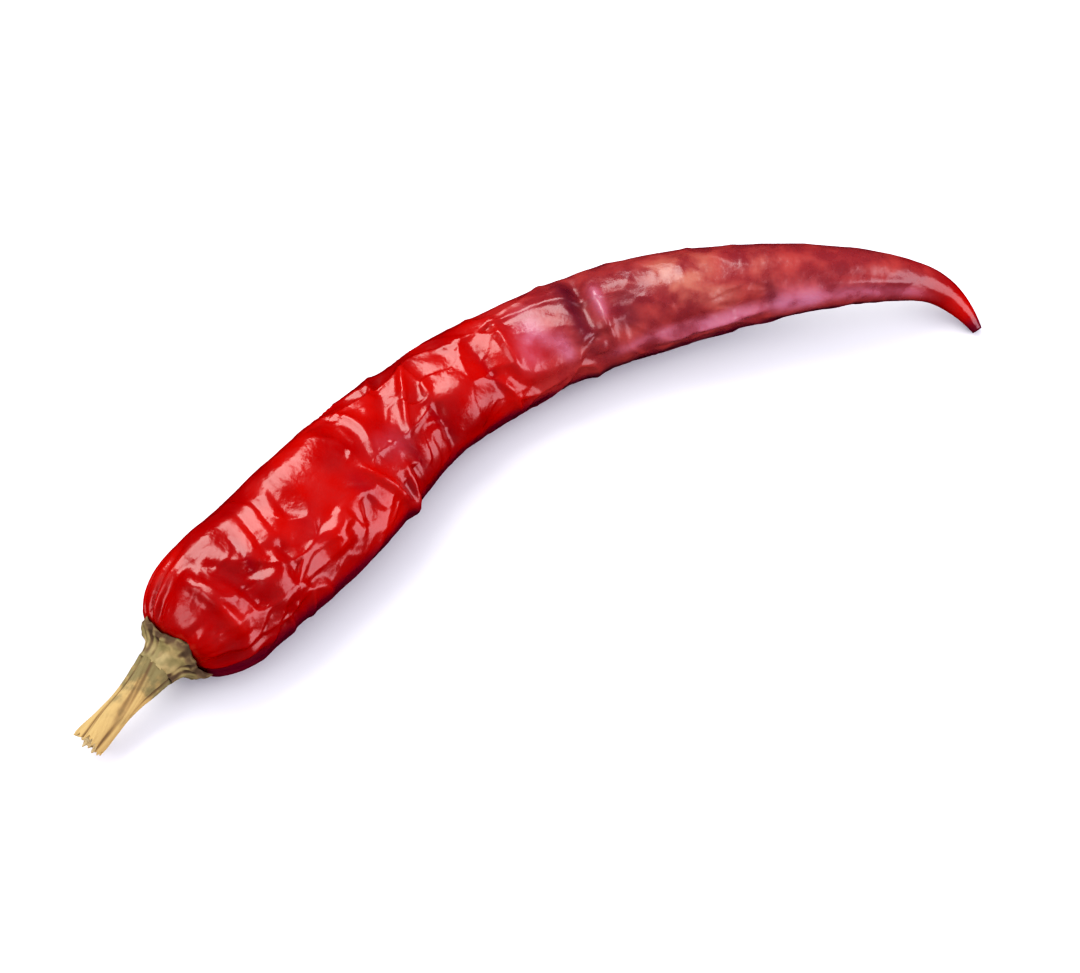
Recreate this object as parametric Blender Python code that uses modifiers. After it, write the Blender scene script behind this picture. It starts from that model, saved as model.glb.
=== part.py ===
"""A dried red chilli pepper, lying on a table: pod, calyx and pedicel.

The unit is the metre and +Z is up. The table is the plane z = 0. +X runs along the chilli's longest
side, from the pedicel towards the tip, and the origin is under the middle of its bounding box.

The pod follows one middle line. Seen from above the line turns through a few headings, and its height
is the height of the pod's underside plus half the pod's thickness, so the pod stays on the table when
a width changes. The calyx and the pedicel start from the same line's stem end.
"""

import math

import bmesh
import bpy
from mathutils import Matrix, Vector

MM = 0.001

# The pod.
POD_LENGTH = 71 * MM  # along the middle line, seen from above
POD_FLATNESS = 0.88  # thickness as a share of width: the pod sank a little as it dried
NECK_WIDTH = 3.4 * MM
SHOULDER_WIDTH = 10.5 * MM
BELLY_WIDTH = 10.2 * MM
WAIST_WIDTH = 8.5 * MM
TAIL_WIDTH = 6.9 * MM
TAPER_WIDTH = 4.8 * MM
HOOK_WIDTH = 2.4 * MM
TIP_WIDTH = 0.6 * MM
SHOULDER_REACH = 5.5 * MM  # from the neck to the full width
REST_DEPTH = 0.35 * MM  # how far the underside has dried flat against the table
TAIL_LIFT = 2.9 * MM  # the underside's height at the tail and at the tip
TIP_LIFT = 0.1 * MM

# Where the pod turns: a share of its length and the heading there, in degrees from +X towards +Y.
HEADINGS = (
    (0.00, 49.0),
    (0.12, 46.5),
    (0.22, 49.5),
    (0.29, 56.0),
    (0.36, 46.0),
    (0.44, 34.5),
    (0.54, 25.5),
    (0.64, 16.0),
    (0.74, 7.5),
    (0.86, 6.0),
    (0.92, 5.0),
    (0.96, -30.0),
    (1.00, -57.0),
)

# The calyx, a dry saucer over the pod's neck.
CALYX_WIDTH = 6.0 * MM  # of the shoulder that it covers
CALYX_WALL = 0.5 * MM
CALYX_LIFT = 0.7 * MM  # the pod's neck hangs down until the calyx is about this far above the table
CALYX_BOSS_HEIGHT = 1.9 * MM  # from the neck's end face to the pedicel

# The pedicel, the cut stalk.
PEDICEL_LENGTH = 6.6 * MM
PEDICEL_TOP_WIDTH = 2.9 * MM  # where it leaves the calyx
PEDICEL_WIDTH = 2.3 * MM  # from its middle to its cut end
PEDICEL_LIFT = 0.6 * MM  # the height of its cut end's underside

FIT_GAP = 0.3 * MM  # left between two pieces that touch

POD_RINGS = 72
POD_SIDES = 24
CALYX_SIDES = 24
CALYX_STEPS = 5  # along its inner side
PEDICEL_RINGS = 9

SKIN_RED = (0.42, 0.012, 0.008, 1.0)
CALYX_OLIVE = (0.24, 0.19, 0.07, 1.0)
PEDICEL_TAN = (0.50, 0.33, 0.12, 1.0)


def read_curve(stations, at):
    """The value at `at` on a smooth curve through (place, value) stations."""
    places = [place for place, _ in stations]
    values = [value for _, value in stations]
    last = len(stations) - 1
    i = max(0, min(last - 1, sum(place <= at for place in places) - 1))

    def slope(k):
        low, high = max(k - 1, 0), min(k + 1, last)
        return (values[high] - values[low]) / (places[high] - places[low])

    span = places[i + 1] - places[i]
    t = min(max((at - places[i]) / span, 0.0), 1.0)
    rise = values[i + 1] - values[i]
    near, far = slope(i) * span, slope(i + 1) * span
    return values[i] + t * (near + t * (3 * rise - 2 * near - far + t * (near + far - 2 * rise)))


def body_width(share):
    """The pod's width at a share of its length, as if its full width went on up to the neck."""
    stations = (
        (0.00, SHOULDER_WIDTH),
        (SHOULDER_REACH / POD_LENGTH, SHOULDER_WIDTH),
        (0.24, BELLY_WIDTH),
        (0.38, WAIST_WIDTH),
        (0.66, TAIL_WIDTH),
        (0.81, TAPER_WIDTH),
        (0.93, HOOK_WIDTH),
        (1.00, TIP_WIDTH),
    )
    return read_curve(stations, share)


def pod_width(along):
    """The pod's width at a distance along its middle line from the neck: its shoulder is a quarter ellipse."""
    if along >= SHOULDER_REACH:
        return body_width(along / POD_LENGTH)
    rounding = math.sqrt(1 - (1 - along / SHOULDER_REACH) ** 2)
    return NECK_WIDTH + (SHOULDER_WIDTH - NECK_WIDTH) * rounding


def shoulder_point(turn, clearance):
    """A radius and a height past the neck's end face, `turn` round the shoulder and `clearance` off it."""
    spread = (SHOULDER_WIDTH - NECK_WIDTH) / 2
    outward = Vector((SHOULDER_REACH * math.sin(turn), spread * math.cos(turn))).normalized()
    on_shoulder = Vector((NECK_WIDTH / 2 + spread * math.sin(turn), SHOULDER_REACH * (math.cos(turn) - 1)))
    return tuple(on_shoulder + outward * clearance)


def underside_height(share):
    """The height of the pod's underside at a share of its length; below zero where it rests.

    At the neck it is where the underside of a full-width pod would be: the neck itself is narrower.
    """
    stations = (
        (0.00, CALYX_LIFT - (SHOULDER_WIDTH - CALYX_WIDTH) * POD_FLATNESS / 2),
        (0.09, -REST_DEPTH),
        (0.26, -REST_DEPTH),
        (0.44, -REST_DEPTH),
        (0.66, TAIL_LIFT * 0.45),
        (0.86, TAIL_LIFT),
        (1.00, TIP_LIFT),
    )
    return read_curve(stations, share)


def middle_line():
    """Points along the pod's middle line from neck to tip, each with the pod's width there."""
    line = []
    x, y, reached = 0.0, 0.0, 0.0
    for ring in range(POD_RINGS):
        # Rings stand closer together at both ends, where the pod closes.
        share = (1 - math.cos(math.pi * ring / (POD_RINGS - 1))) / 2
        heading = math.radians(read_curve(HEADINGS, (share + reached) / 2))
        x += math.cos(heading) * (share - reached) * POD_LENGTH
        y += math.sin(heading) * (share - reached) * POD_LENGTH
        height = underside_height(share) + body_width(share) * POD_FLATNESS / 2
        line.append((Vector((x, y, height)), pod_width(share * POD_LENGTH)))
        reached = share
    return line


def material(name, colour, roughness):
    """A plain surface material."""
    made = bpy.data.materials.new(name)
    made.use_nodes = True
    shader = made.node_tree.nodes["Principled BSDF"]
    shader.inputs["Base Color"].default_value = colour
    shader.inputs["Roughness"].default_value = roughness
    shader.inputs["Metallic"].default_value = 0.0
    return made


def add(obj, collection, parent=None, surface=None):
    """Puts an object in a collection, under its parent and with its material."""
    collection.objects.link(obj)
    obj.parent = parent
    if surface:
        obj.data.materials.clear()
        obj.data.materials.append(surface)
    return obj


def tapered_tube(name, line, section):
    """A curve object along `line`, closed at both ends, whose section is scaled by each point's width."""
    curve = bpy.data.curves.new(name, "CURVE")
    curve.dimensions = "3D"
    curve.twist_mode = "Z_UP"
    curve.bevel_mode = "OBJECT"
    curve.bevel_object = section
    curve.use_fill_caps = True
    spline = curve.splines.new("POLY")
    spline.points.add(len(line) - 1)
    for point, (place, width) in zip(spline.points, line):
        point.co = (*place, 1.0)
        point.radius = width
    return bpy.data.objects.new(name, curve)


def ellipse_section(name, sides, flatness):
    """A closed flat curve one unit wide, to be used as a tube's section."""
    curve = bpy.data.curves.new(name, "CURVE")
    curve.dimensions = "2D"
    spline = curve.splines.new("POLY")
    spline.points.add(sides - 1)
    spline.use_cyclic_u = True
    for side, point in enumerate(spline.points):
        angle = 2 * math.pi * side / sides
        point.co = (math.cos(angle) / 2, math.sin(angle) / 2 * flatness, 0.0, 1.0)
    section = bpy.data.objects.new(name, curve)
    section.hide_render = True
    section.display_type = "WIRE"
    return section


def as_mesh(tube, collection):
    """A closed mesh object in place of a curve object, with its caps welded."""
    bpy.context.view_layer.update()
    evaluated = tube.evaluated_get(bpy.context.evaluated_depsgraph_get())
    mesh = bpy.data.meshes.new_from_object(evaluated)
    mesh.name = tube.name
    shell = bmesh.new()
    shell.from_mesh(mesh)
    bmesh.ops.remove_doubles(shell, verts=shell.verts, dist=0.001 * MM)
    bmesh.ops.recalc_face_normals(shell, faces=shell.faces)
    shell.to_mesh(mesh)
    shell.free()
    mesh.shade_smooth()
    name, place = tube.name, tube.matrix_world.copy()
    bpy.data.objects.remove(tube)
    made = bpy.data.objects.new(name, mesh)
    made.matrix_world = place
    collection.objects.link(made)
    return made


def table_slab(collection):
    """A slab whose top face is the table. It cuts off what the pod's underside has lost to the table."""
    slab_side = 2 * POD_LENGTH
    slab_depth = 10 * MM
    mesh = bpy.data.meshes.new("table_slab")
    shape = bmesh.new()
    bmesh.ops.create_cube(shape, size=1.0)
    bmesh.ops.scale(shape, vec=(slab_side, slab_side, slab_depth), verts=shape.verts)
    bmesh.ops.translate(shape, vec=(POD_LENGTH / 2, POD_LENGTH / 2, -slab_depth / 2), verts=shape.verts)
    shape.to_mesh(mesh)
    shape.free()
    slab = bpy.data.objects.new("table_slab", mesh)
    slab.hide_render = True
    slab.display_type = "WIRE"
    return add(slab, collection)


def make_pod(line, parts, cutters, holder):
    """The pod: a tapered tube along the middle line, flat where it rests on the table."""
    section = add(ellipse_section("pod_section", POD_SIDES, POD_FLATNESS), cutters)
    tube = add(tapered_tube("pod", line, section), parts)
    pod = as_mesh(tube, parts)
    pod.parent = holder
    pod.data.materials.clear()
    pod.data.materials.append(material("chilli_skin", SKIN_RED, 0.3))
    cut = pod.modifiers.new("flat_underside", "BOOLEAN")
    cut.operation = "DIFFERENCE"
    cut.object = table_slab(cutters)
    return pod


def stem_frame(line):
    """A matrix at the middle of the pod's neck, with +Z pointing out of the pod and +Y as upright as it can be."""
    start, beyond = line[0][0], line[1][0]
    out = (start - beyond).normalized()
    side = Vector((0, 0, 1)).cross(out).normalized()
    up = out.cross(side)
    axes = Matrix((side, up, out)).transposed().to_4x4()
    return Matrix.Translation(start) @ axes


def calyx_profile():
    """The calyx's outline: from its top on the axis, down its outer side, and back up its inner side."""
    rim_turn = math.asin((CALYX_WIDTH - NECK_WIDTH) / (SHOULDER_WIDTH - NECK_WIDTH))
    turns = [rim_turn * step / CALYX_STEPS for step in range(CALYX_STEPS + 1)]
    boss = [(0.0, CALYX_BOSS_HEIGHT), (PEDICEL_TOP_WIDTH / 2, CALYX_BOSS_HEIGHT)]
    outer = [shoulder_point(turn, FIT_GAP + CALYX_WALL) for turn in turns]
    inner = [shoulder_point(turn, FIT_GAP) for turn in reversed(turns)]
    return [*boss, *outer, *inner, (0.0, FIT_GAP)]


def make_calyx(line, parts, holder):
    """The calyx: a turned saucer, as flat as the pod, over the neck and the top of the shoulder."""
    outline = calyx_profile()
    mesh = bpy.data.meshes.new("calyx")
    edges = [(k, k + 1) for k in range(len(outline) - 1)]
    mesh.from_pydata([(radius, 0.0, height) for radius, height in outline], edges, [])
    calyx = add(bpy.data.objects.new("calyx", mesh), parts, holder, material("dry_calyx", CALYX_OLIVE, 0.7))
    turn = calyx.modifiers.new("turn", "SCREW")
    turn.axis = "Z"
    turn.steps = CALYX_SIDES
    turn.render_steps = CALYX_SIDES
    turn.use_merge_vertices = True
    turn.merge_threshold = 0.005 * MM
    calyx.matrix_local = stem_frame(line) @ Matrix.Diagonal((1.0, POD_FLATNESS, 1.0, 1.0))
    return calyx


def make_pedicel(line, parts, holder):
    """The pedicel: a short round stalk that droops towards the table and narrows to its cut end."""
    frame = stem_frame(line)
    out = frame.col[2].xyz
    start = frame @ Vector((0.0, 0.0, CALYX_BOSS_HEIGHT + FIT_GAP))
    droop = start.z + out.z * PEDICEL_LENGTH - (PEDICEL_LIFT + PEDICEL_WIDTH / 2)
    curve = bpy.data.curves.new("pedicel", "CURVE")
    curve.dimensions = "3D"
    curve.bevel_depth = 1.0
    curve.bevel_resolution = 4
    curve.use_fill_caps = True
    spline = curve.splines.new("POLY")
    spline.points.add(PEDICEL_RINGS - 1)
    for ring, point in enumerate(spline.points):
        share = ring / (PEDICEL_RINGS - 1)
        place = start + out * PEDICEL_LENGTH * share - Vector((0.0, 0.0, droop * share**2))
        narrowing = min(2 * share, 1.0)
        point.co = (*place, 1.0)
        point.radius = (PEDICEL_TOP_WIDTH + (PEDICEL_WIDTH - PEDICEL_TOP_WIDTH) * narrowing) / 2
    return add(bpy.data.objects.new("pedicel", curve), parts, holder, material("dry_stalk", PEDICEL_TAN, 0.75))


def centre_on_origin(holder, parts):
    """Moves the holder so that the origin lies under the middle of the parts' bounding box."""
    bpy.context.view_layer.update()
    graph = bpy.context.evaluated_depsgraph_get()
    places = []
    for obj in parts.objects:
        seen = obj.evaluated_get(graph)
        shape = seen.to_mesh()
        places += [seen.matrix_world @ vertex.co for vertex in shape.vertices]
        seen.to_mesh_clear()
    for axis in range(2):
        sides = [place[axis] for place in places]
        holder.location[axis] = -(min(sides) + max(sides)) / 2


def main():
    """Clears the scene and builds the chilli."""
    for old in list(bpy.data.objects):
        bpy.data.objects.remove(old)
    parts = bpy.data.collections.new("dried_chilli")
    cutters = bpy.data.collections.new("cutters")
    for collection in (parts, cutters):
        bpy.context.scene.collection.children.link(collection)
    holder = bpy.data.objects.new("chilli_origin", None)
    bpy.context.scene.collection.objects.link(holder)

    line = middle_line()
    make_pod(line, parts, cutters, holder)
    make_calyx(line, parts, holder)
    make_pedicel(line, parts, holder)
    centre_on_origin(holder, parts)


main()
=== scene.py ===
"""The looks of a dried red chilli pepper: its wrinkled pod, shrivelled calyx and cut stalk.

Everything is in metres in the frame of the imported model. The pod's skin is a tube of points that
grows, level by level, into more skin than there is room for. It buckles on the shrunken flesh under
it, the way a pod wrinkles as it dries. A white floor, soft lights and a camera stand round it.
"""
import logging
import math
from collections.abc import Iterable
from dataclasses import dataclass, field
from enum import Enum

import bpy
import numpy as np
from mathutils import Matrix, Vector


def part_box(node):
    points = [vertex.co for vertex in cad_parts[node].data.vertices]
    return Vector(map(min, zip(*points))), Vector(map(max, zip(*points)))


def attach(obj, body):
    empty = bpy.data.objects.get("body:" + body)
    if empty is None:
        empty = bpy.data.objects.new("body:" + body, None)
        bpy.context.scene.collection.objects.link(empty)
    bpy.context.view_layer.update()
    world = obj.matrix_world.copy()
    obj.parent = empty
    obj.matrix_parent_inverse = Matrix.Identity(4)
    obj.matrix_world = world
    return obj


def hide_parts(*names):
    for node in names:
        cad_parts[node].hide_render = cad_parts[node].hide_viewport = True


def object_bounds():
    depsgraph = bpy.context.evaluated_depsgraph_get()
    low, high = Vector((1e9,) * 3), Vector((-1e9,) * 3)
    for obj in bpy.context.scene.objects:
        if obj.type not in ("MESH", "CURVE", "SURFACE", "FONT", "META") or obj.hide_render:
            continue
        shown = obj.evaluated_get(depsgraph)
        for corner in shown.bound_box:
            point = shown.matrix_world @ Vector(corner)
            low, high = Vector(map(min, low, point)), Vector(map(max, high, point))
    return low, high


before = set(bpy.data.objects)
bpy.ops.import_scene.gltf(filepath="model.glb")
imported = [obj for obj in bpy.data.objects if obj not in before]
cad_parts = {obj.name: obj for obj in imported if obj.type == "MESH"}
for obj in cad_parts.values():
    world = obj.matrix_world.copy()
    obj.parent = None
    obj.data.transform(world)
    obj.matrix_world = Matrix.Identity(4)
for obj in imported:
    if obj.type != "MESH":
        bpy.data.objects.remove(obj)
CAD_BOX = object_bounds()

MM = 0.001
BODY = "root"
LOG = logging.getLogger("dried_chilli")

FULL_TURN = 2 * math.pi
UPWARDS = np.array([0.0, 0.0, 1.0])
TINY = 1e-12  # the least that a vector's length or a squared length counts as
SHORTEST = 1e-9  # the least that the distance of two of the skin's points counts as
FINE_STEPS = 2000  # the steps in which the pod's middle line is drawn

Stations = tuple[tuple[float, float], ...]
Colour = tuple[float, float, float, float]


# ----------------------------------------------------------------------
# Curves and smooth noise
# ----------------------------------------------------------------------


def read_curve(stations: Stations, at: np.ndarray) -> np.ndarray:
    """A smooth curve through (place, value) stations.

    Args:
        stations: the places, in rising order, with the value at each.
        at: where to read the curve.

    Returns:
        The values there, held at the end values outside the stations.
    """
    places = np.array([place for place, _ in stations])
    values = np.array([value for _, value in stations])
    last = len(places) - 1
    low = np.maximum(np.arange(last + 1) - 1, 0)
    high = np.minimum(np.arange(last + 1) + 1, last)
    slopes = (values[high] - values[low]) / (places[high] - places[low])
    i = np.clip(np.searchsorted(places, at, side="right") - 1, 0, last - 1)
    span = places[i + 1] - places[i]
    t = np.clip((at - places[i]) / span, 0.0, 1.0)
    rise = values[i + 1] - values[i]
    near, far = slopes[i] * span, slopes[i + 1] * span
    return values[i] + t * (near + t * (3 * rise - 2 * near - far + t * (near + far - 2 * rise)))


def smooth_step(low: float, high: float, value: np.ndarray) -> np.ndarray:
    """0 below `low`, 1 above `high`, and smooth between; `low` may be the larger."""
    t = np.clip((value - low) / (high - low), 0.0, 1.0)
    return t * t * (3 - 2 * t)


def unit(vectors: np.ndarray) -> np.ndarray:
    """Each vector of an array, one long."""
    return vectors / np.maximum(np.linalg.norm(vectors, axis=-1, keepdims=True), TINY)


def even_turns(columns: int) -> np.ndarray:
    """The angles of evenly spaced columns round an axis."""
    return np.arange(columns) * FULL_TURN / columns


def ripples(angle: np.ndarray, *waves: tuple[float, float, object]) -> np.ndarray:
    """A sum of sine waves.

    Args:
        angle: where to read them.
        waves: each wave's height, its number to a full turn, and its phase.

    Returns:
        The sum at each angle.
    """
    return sum(height * np.sin(number * angle + phase) for height, number, phase in waves)


def ring_points(
    centre: np.ndarray,
    across: np.ndarray,
    up: np.ndarray,
    radius: np.ndarray,
    turn: np.ndarray,
    flatness: float = 1.0,
) -> np.ndarray:
    """Points on rings round a middle line.

    Args:
        centre: the middle of each ring.
        across: the way from there at a turn of 0.
        up: the way from there at a quarter turn.
        radius: each point's distance, by ring and column.
        turn: each column's angle.
        flatness: the rings' height as a share of their width.

    Returns:
        An array of rings by columns by 3.
    """
    return (
        centre
        + (radius * np.cos(turn))[..., None] * across
        + (radius * np.sin(turn) * flatness)[..., None] * up
    )


@dataclass(frozen=True)
class SpaceNoise:
    """Smooth seeded noise in space: waves in random directions whose lengths are near one size.

    `shortest` and `longest` bound the waves' lengths as shares of `size`, and `level` scales the sum.
    """

    size: float
    seed: int
    waves: int = 28
    shortest: float = 0.7
    longest: float = 1.5
    level: float = 0.7

    def at(self, points: np.ndarray) -> np.ndarray:
        """Reads the noise.

        Args:
            points: an array of points, in metres.

        Returns:
            One value for each point, mostly between -1 and 1.
        """
        draw = np.random.default_rng(self.seed)
        directions = unit(draw.normal(size=(self.waves, 3)))
        lengths = self.size * draw.uniform(self.shortest, self.longest, self.waves)
        phases = draw.uniform(0, FULL_TURN, self.waves)
        total = np.zeros(points.shape[:-1])
        for direction, length, phase in zip(directions, lengths, phases):
            total += np.sin(points @ (direction * 2 * math.pi / length) + phase)
        return total * math.sqrt(2 / self.waves) * self.level


# ----------------------------------------------------------------------
# The pod's smooth body
# ----------------------------------------------------------------------


@dataclass(frozen=True)
class PodBody:
    """The pod before its skin wrinkles: a tapered tube along one middle line, as the CAD pod is.

    `bend_lift` is how far the underside stands off the table at the bend, as a share of `tail_lift`.
    `headings` are the ways that the middle line runs, in degrees, by share of the length.
    """

    length: float = 71 * MM
    flatness: float = 0.88
    neck_width: float = 3.4 * MM
    shoulder_width: float = 10.5 * MM
    shoulder_reach: float = 5.5 * MM
    rest_depth: float = 0.35 * MM
    neck_lift: float = 0.7 * MM
    calyx_width: float = 6.0 * MM
    tail_lift: float = 2.9 * MM
    bend_lift: float = 0.45
    tip_lift: float = 0.1 * MM
    headings: Stations = (
        (0.00, 49.0), (0.12, 46.5), (0.22, 49.5), (0.29, 56.0), (0.36, 46.0), (0.44, 34.5),
        (0.54, 25.5), (0.64, 16.0), (0.74, 7.5), (0.86, 6.0), (0.92, 5.0), (0.96, -30.0),
        (1.00, -57.0),
    )
    widths: Stations = (
        (0.24, 10.2 * MM), (0.38, 8.5 * MM), (0.66, 6.9 * MM), (0.81, 4.8 * MM),
        (0.93, 2.4 * MM), (1.00, 0.6 * MM),
    )

    def full_width(self, shares: np.ndarray) -> np.ndarray:
        """The width at shares of the length, as if the shoulder's width went on up to the neck.

        Args:
            shares: where along the pod, as shares of its length.

        Returns:
            The width there.
        """
        start = (0.0, self.shoulder_width)
        shoulder = (self.shoulder_reach / self.length, self.shoulder_width)
        return read_curve((start, shoulder, *self.widths), shares)

    def width(self, shares: np.ndarray) -> np.ndarray:
        """The width at shares of the length, with the rounded shoulder.

        Args:
            shares: where along the pod, as shares of its length.

        Returns:
            The width there.
        """
        reach = np.clip(shares * self.length / self.shoulder_reach, 0.0, 1.0)
        rounding = np.sqrt(1 - (1 - reach) ** 2)
        rounded = self.neck_width + (self.shoulder_width - self.neck_width) * rounding
        return np.where(reach < 1.0, rounded, self.full_width(shares))

    def underside(self, shares: np.ndarray) -> np.ndarray:
        """The height of the underside, which would be below the table where the pod rests.

        Args:
            shares: where along the pod, as shares of its length.

        Returns:
            The height there.
        """
        neck = self.neck_lift - (self.shoulder_width - self.calyx_width) * self.flatness / 2
        stations = (
            (0.00, neck),
            (0.09, -self.rest_depth),
            (0.26, -self.rest_depth),
            (0.44, -self.rest_depth),
            (0.66, self.tail_lift * self.bend_lift),
            (0.86, self.tail_lift),
            (1.00, self.tip_lift),
        )
        return read_curve(stations, shares)

    def middle(self, shares: np.ndarray) -> np.ndarray:
        """Points on the middle line, placed on the CAD pod.

        Args:
            shares: where along the pod, as shares of its length.

        Returns:
            A point for each share.
        """
        fine = np.linspace(0.0, 1.0, FINE_STEPS + 1)
        turned = np.radians(read_curve(self.headings, (fine[1:] + fine[:-1]) / 2))
        steps = np.stack([np.cos(turned), np.sin(turned)], axis=1) * self.length / FINE_STEPS
        plan = np.vstack([np.zeros((1, 2)), np.cumsum(steps, axis=0)])
        across = np.stack([-np.gradient(plan[:, 1]), np.gradient(plan[:, 0])], axis=1)
        sides = unit(across) * self.width(fine)[:, None] / 2
        edges = np.vstack([plan + sides, plan - sides])
        low, high = (np.array(corner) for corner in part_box("pod"))
        shift = (low[:2] + high[:2]) / 2 - (edges.min(axis=0) + edges.max(axis=0)) / 2
        height = self.underside(shares) + self.full_width(shares) * self.flatness / 2
        x = np.interp(shares, fine, plan[:, 0]) + shift[0]
        y = np.interp(shares, fine, plan[:, 1]) + shift[1]
        return np.stack([x, y, height], axis=1)

    def even_shares(self, rings: int) -> np.ndarray:
        """Shares of the length that are evenly far apart over the pod's surface, shoulder included.

        Args:
            rings: how many shares to give.

        Returns:
            The shares, from 0 to 1.
        """
        fine = (1 - np.cos(np.linspace(0, math.pi, 2 * FINE_STEPS + 1))) / 2
        along = np.hypot(np.diff(fine) * self.length, np.diff(self.width(fine)) / 2)
        run = np.concatenate([[0.0], np.cumsum(along)])
        return np.interp(np.linspace(0.0, run[-1], rings), run, fine)


@dataclass
class SkinGrid:
    """A grid of points on the pod: rows are rings from neck to tip, and columns run round it.

    Column 0 is on the pod's right, seen from the neck; the columns go up over its top and round.
    """

    body: PodBody
    rings: int
    columns: int
    shares: np.ndarray = field(init=False)
    angles: np.ndarray = field(init=False)
    centres: np.ndarray = field(init=False)
    sides: np.ndarray = field(init=False)
    ups: np.ndarray = field(init=False)
    radii: np.ndarray = field(init=False)

    def __post_init__(self) -> None:
        """Works out each ring's place and directions."""
        self.shares = self.body.even_shares(self.rings)
        self.angles = even_turns(self.columns)
        fine = np.linspace(0.0, 1.0, FINE_STEPS // 2 + 1)
        line = self.body.middle(fine)
        forward = unit(np.gradient(line, axis=0))
        ahead = unit(np.stack([np.interp(self.shares, fine, forward[:, k]) for k in range(3)], axis=1))
        self.centres = self.body.middle(self.shares)
        self.sides = unit(np.cross(ahead, UPWARDS))
        self.ups = np.cross(self.sides, ahead)
        self.radii = self.body.width(self.shares) / 2

    def points(
        self, inset: np.ndarray | float = 0.0, swell: np.ndarray | float = 1.0, core: float = 0.5
    ) -> np.ndarray:
        """The smooth surface.

        Args:
            inset: how far inside the CAD surface each point lies.
            swell: each point's distance from the middle line, as a share of the plain ellipse's.
            core: the share of that distance which no inset goes past.

        Returns:
            An array of rings by columns by 3.
        """
        turn = self.angles[None, :]
        radius = self.radii[:, None] * np.ones_like(turn) * swell
        radius = np.maximum(radius - inset, radius * core)
        middle, sides, ups = (array[:, None, :] for array in (self.centres, self.sides, self.ups))
        return ring_points(middle, sides, ups, radius, turn, self.body.flatness)


def grid_normals(points: np.ndarray) -> np.ndarray:
    """The outward normals of a grid of points that closes round its columns.

    Args:
        points: rings by columns by 3.

    Returns:
        A direction for each point.
    """
    along = np.gradient(points, axis=0)
    across = np.roll(points, -1, axis=1) - np.roll(points, 1, axis=1)
    return unit(np.cross(along, across))


# ----------------------------------------------------------------------
# Features and wrinkles of the skin
# ----------------------------------------------------------------------


@dataclass(frozen=True)
class Spot:
    """An oval place on the pod.

    `share` and `angle` (degrees) are its middle, and `turn` is the way it runs: 0 along the pod and
    90 round it. `reach` and `girth` are its half length and half width in millimetres. `amount` is how
    much of something it has there: a height in millimetres for a fold or a dent, or a share of a
    colour. `crest` shapes it across its width, and `ending` along its length: 2 is round, and 4 is flat
    on top with steep sides.
    """

    share: float
    angle: float
    reach: float
    girth: float
    amount: float
    turn: float = 90.0
    crest: float = 2.0
    ending: int = 4

    def at(self, grid: SkinGrid) -> np.ndarray:
        """The spot's amount at each point of a grid, fading out at its edge.

        Args:
            grid: the grid on the pod.

        Returns:
            One value for each point.
        """
        away = (grid.angles - math.radians(self.angle) + math.pi) % FULL_TURN - math.pi
        radius = np.interp(self.share, grid.shares, grid.radii)
        along = (grid.shares - self.share)[:, None] * grid.body.length
        around = away[None, :] * radius
        cos, sin = math.cos(math.radians(self.turn)), math.sin(math.radians(self.turn))
        run = (along * cos + around * sin) / (self.reach * MM)
        off = (around * cos - along * sin) / (self.girth * MM)
        return self.amount * np.exp(-(run**self.ending) - np.abs(off) ** self.crest)


def spread(spots: Iterable[Spot], grid: SkinGrid) -> np.ndarray:
    """The sum of the spots' amounts at each point of a grid."""
    return sum((spot.at(grid) for spot in spots), np.zeros((grid.rings, grid.columns)))


@dataclass(frozen=True)
class Facets:
    """Facets of skin that have sunk between thin ridges, each a little tilted.

    `along` and `around` are a facet's usual size. The ridges wander by `bend` of `along`, in waves of
    `bend_size` facets. `depths` are the least and the greatest depth as shares of `depth`. `girth` is
    the pod's usual radius, which sets the number of facets, and `thinnest` is the least that its radius
    counts as. `far` is further than any point lies from its facet's middle, in facets.
    """

    along: float
    around: float
    depth: float
    tilt: float
    sharpness: float
    seed: int
    bend: float = 0.45
    bend_size: float = 2.2
    depths: tuple[float, float] = (0.3, 1.4)
    girth: float = 4.2 * MM
    thinnest: float = 1.2 * MM
    far: float = 9.0

    def height(self, grid: SkinGrid) -> np.ndarray:
        """How far the skin lies above or below the flesh's plain surface.

        Args:
            grid: the grid on the pod.

        Returns:
            A height for each point: 0 on the ridges, and mostly below 0 inside the facets.
        """
        draw = np.random.default_rng(self.seed)
        body = grid.body
        points = grid.points()
        bend = self.bend * self.along
        drift = bend * SpaceNoise(self.bend_size * self.along, self.seed + 1).at(points)
        swing = bend * SpaceNoise(self.bend_size * self.around, self.seed + 2).at(points)
        run = grid.shares[:, None] * body.length + drift
        radius = np.maximum(grid.radii, self.thinnest)[:, None]
        angle = grid.angles[None, :] + swing / radius
        count = int(body.length / self.along * FULL_TURN * self.girth / self.around)
        first = np.full(run.shape, self.far)
        second = np.full(run.shape, self.far)
        sunk = np.zeros(run.shape)
        for _ in range(count):
            share, turn = draw.uniform(0, 1), draw.uniform(0, FULL_TURN)
            depth = self.depth * draw.uniform(*self.depths)
            lean = draw.normal(size=2) * self.tilt
            off = (run - share * body.length) / self.along
            away = ((angle - turn + math.pi) % FULL_TURN - math.pi) * radius / self.around
            distance = np.hypot(off, away)
            nearest = distance < first
            second = np.minimum(second, np.maximum(first, distance))
            first = np.minimum(first, distance)
            sunk = np.where(nearest, off * lean[0] + away * lean[1] - depth, sunk)
        return (1 - np.exp(-(second - first) * self.sharpness)) * sunk


@dataclass(frozen=True)
class Shrinking:
    """How one level of the skin wrinkles.

    `spare` is the skin that it has too much of, as a share of its length and girth, `stiffness` is how
    much a step smooths its bends, and `bed` is how strongly the flesh under it draws it back.
    """

    rings: int
    columns: int
    steps: int
    spare: float
    stiffness: float
    bed: float
    seed: int


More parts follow.
